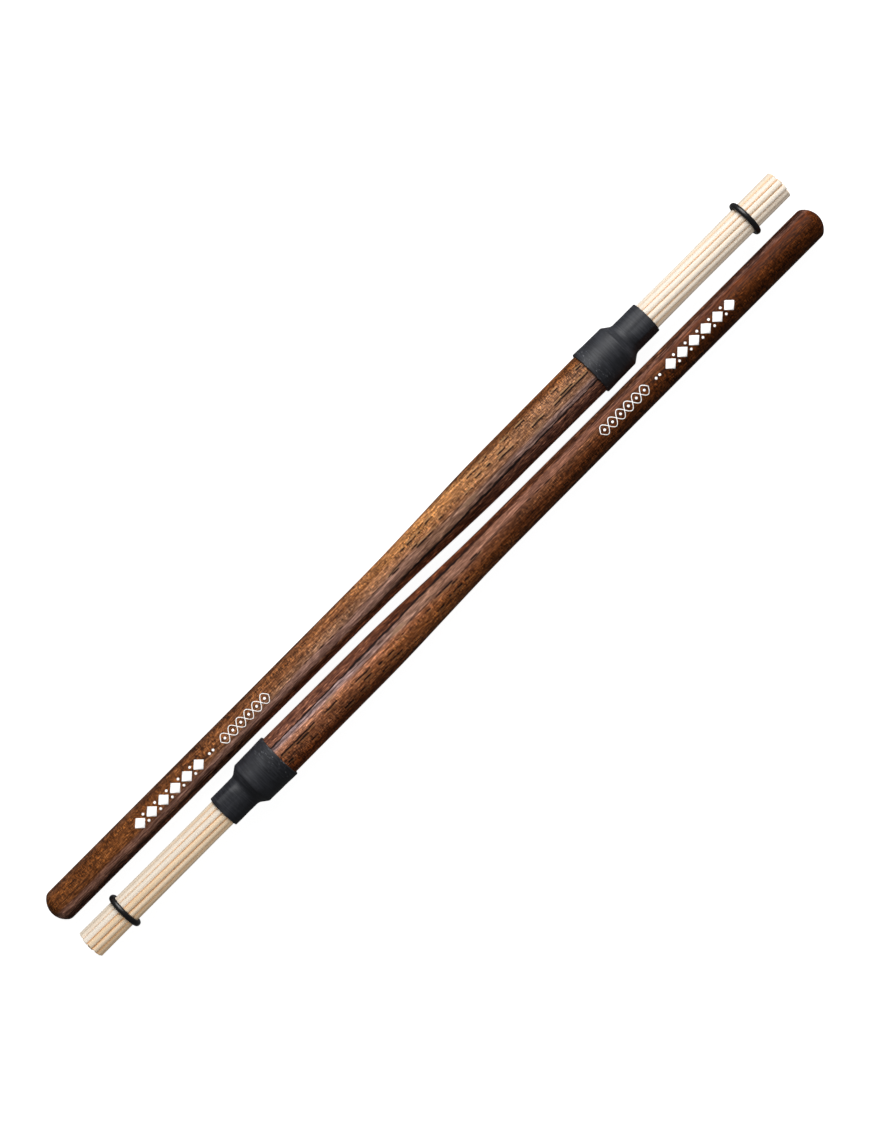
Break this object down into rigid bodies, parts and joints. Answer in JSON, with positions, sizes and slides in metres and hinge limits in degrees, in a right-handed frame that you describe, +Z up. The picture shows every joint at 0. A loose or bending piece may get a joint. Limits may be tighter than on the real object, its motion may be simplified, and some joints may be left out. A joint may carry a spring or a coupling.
{
  "type": "pair of drum rods",
  "caption": "Drum rods lying head to tail: turned wooden handles with bundled thin dowels in a shrunk-on sleeve, each bundle with a sliding rubber ring.",
  "frame": {"origin": "on the table under the middle of the pair", "axes": "+X along the pair towards stick a's dowel tips, +Y from stick b to stick a, +Z up from the table"},
  "size_m": [0.4086, 0.0397, 0.0202],
  "materials": {
    "roasted_wood": "roasted ash, oiled to a satin sheen",
    "birch": "bare sanded birch",
    "shrink_sleeve": "satin black heat-shrink tube",
    "ring_rubber": "smooth black moulded rubber",
    "glue": "hardened wood glue",
    "white_print": "thin matt white ink"
  },
  "bodies": {
    "stick_a": {"handle_a": "roasted_wood", "glue_bed_a": "glue", "sleeve_a": "shrink_sleeve", "dowel_a_core": "birch", "dowel_a_inner_1": "birch", "dowel_a_inner_2": "birch", "dowel_a_inner_3": "birch", "dowel_a_inner_4": "birch", "dowel_a_inner_5": "birch", "dowel_a_inner_6": "birch", "dowel_a_outer_01": "birch", "dowel_a_outer_02": "birch", "dowel_a_outer_03": "birch", "dowel_a_outer_04": "birch", "dowel_a_outer_05": "birch", "dowel_a_outer_06": "birch", "dowel_a_outer_07": "birch", "dowel_a_outer_08": "birch", "dowel_a_outer_09": "birch", "dowel_a_outer_10": "birch", "dowel_a_outer_11": "birch", "dowel_a_outer_12": "birch"},
    "ring_a": {"sliding_ring_a": "ring_rubber"},
    "stick_b": {"handle_b": "roasted_wood", "glue_bed_b": "glue", "sleeve_b": "shrink_sleeve", "dowel_b_core": "birch", "dowel_b_inner_1": "birch", "dowel_b_inner_2": "birch", "dowel_b_inner_3": "birch", "dowel_b_inner_4": "birch", "dowel_b_inner_5": "birch", "dowel_b_inner_6": "birch", "dowel_b_outer_01": "birch", "dowel_b_outer_02": "birch", "dowel_b_outer_03": "birch", "dowel_b_outer_04": "birch", "dowel_b_outer_05": "birch", "dowel_b_outer_06": "birch", "dowel_b_outer_07": "birch", "dowel_b_outer_08": "birch", "dowel_b_outer_09": "birch", "dowel_b_outer_10": "birch", "dowel_b_outer_11": "birch", "dowel_b_outer_12": "birch"},
    "ring_b": {"sliding_ring_b": "ring_rubber"}
  },
  "joints": [
    {"name": "ring_a_slide", "type": "slide", "parent": "stick_a", "child": "ring_a", "axis": [0.9999, 0, 0.0105], "range_m": [-0.052, 0.017]},
    {"name": "stick_b_lift", "type": "slide", "parent": "stick_a", "child": "stick_b", "axis": [0, 0, 1], "range_m": [0, 0.06]},
    {"name": "ring_b_slide", "type": "slide", "parent": "stick_b", "child": "ring_b", "axis": [-0.9999, 0, 0.0105], "range_m": [-0.052, 0.017]}
  ]
}
